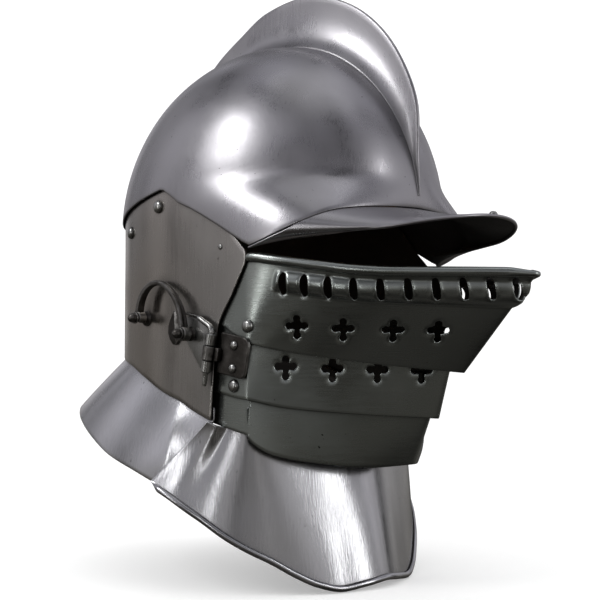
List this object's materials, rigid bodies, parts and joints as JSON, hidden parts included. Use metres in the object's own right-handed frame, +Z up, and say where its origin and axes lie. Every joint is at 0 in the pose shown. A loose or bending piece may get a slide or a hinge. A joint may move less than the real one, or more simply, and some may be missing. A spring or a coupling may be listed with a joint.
{
  "type": "knight helmet",
  "caption": "Knight's close burgonet with a tall comb, a fixed peak, a removable falling face guard with breaths, flared gorget plates, side bails and a padded liner.",
  "frame": {"origin": "middle of the crown pad's flat underside, where the top of the wearer's head rests", "axes": "+Z up through the comb, the face looks along -Y, +X is the wearer's left"},
  "size_m": [0.2298, 0.3649, 0.3945],
  "materials": {
    "polished_steel": "buffed steel with soft scratches",
    "dark_steel": "oiled steel, slightly green-grey",
    "bright_steel": "bright vertical polish",
    "black_iron": "blackened forged iron",
    "leather": "brown strap leather",
    "padding": "quilted canvas"
  },
  "bodies": {
    "helmet": {"skull": "polished_steel", "comb": "polished_steel", "peak": "polished_steel", "nape_plate": "polished_steel", "rear_gorget": "polished_steel", "peak_rivet": "polished_steel", "nape_rivet_front_left": "polished_steel", "nape_rivet_front_right": "polished_steel", "nape_rivet_back_left": "polished_steel", "nape_rivet_back_right": "polished_steel", "cheek_rivet_left": "dark_steel", "cheek_rivet_right": "dark_steel", "helmet_leaf_left": "dark_steel", "helmet_leaf_right": "dark_steel", "front_stud_left": "black_iron", "front_stud_right": "black_iron", "rear_stud_left": "black_iron", "rear_stud_right": "black_iron", "escutcheon_left": "black_iron", "escutcheon_right": "black_iron", "liner_band": "leather", "liner_tongue_1": "leather", "liner_tongue_2": "leather", "liner_tongue_3": "leather", "liner_tongue_4": "leather", "liner_tongue_5": "leather", "liner_tongue_6": "leather", "liner_crown": "padding"},
    "buffe": {"lower_lame": "dark_steel", "chin_plate": "dark_steel", "front_gorget": "bright_steel", "buffe_leaf_left": "black_iron", "buffe_leaf_right": "black_iron", "leaf_rivet_top_left": "polished_steel", "leaf_rivet_top_right": "polished_steel", "leaf_rivet_low_left": "polished_steel", "leaf_rivet_low_right": "polished_steel", "lower_rivet_left": "polished_steel", "lower_rivet_right": "polished_steel"},
    "upper_plate": {"upper_lame": "dark_steel", "pivot_rivet_left": "polished_steel", "pivot_rivet_right": "polished_steel"},
    "pin_left": {"hinge_pin_left": "polished_steel"},
    "pin_right": {"hinge_pin_right": "polished_steel"},
    "bail_left": {"bail_left": "black_iron"},
    "bail_right": {"bail_right": "black_iron"}
  },
  "joints": [
    {"name": "buffe_slide", "type": "slide", "parent": "helmet", "child": "buffe", "axis": [0, -0.9806, -0.1961], "range_m": [0, 0.15]},
    {"name": "upper_lame_fall", "type": "hinge", "parent": "buffe", "child": "upper_plate", "pos_m": [0, -0.058, -0.169], "axis": [1, 0, 0], "range_deg": [0, 12]},
    {"name": "pin_left_slide", "type": "slide", "parent": "helmet", "child": "pin_left", "axis": [0, -0.1961, 0.9806], "range_m": [0, 0.045]},
    {"name": "pin_right_slide", "type": "slide", "parent": "helmet", "child": "pin_right", "axis": [0, -0.1961, 0.9806], "range_m": [0, 0.045]},
    {"name": "bail_left_lift", "type": "hinge", "parent": "helmet", "child": "bail_left", "pos_m": [0.103, -0.012, -0.173], "axis": [1, 0, 0], "range_deg": [0, 30]},
    {"name": "bail_right_lift", "type": "hinge", "parent": "helmet", "child": "bail_right", "pos_m": [-0.103, -0.012, -0.173], "axis": [1, 0, 0], "range_deg": [0, 30]}
  ]
}
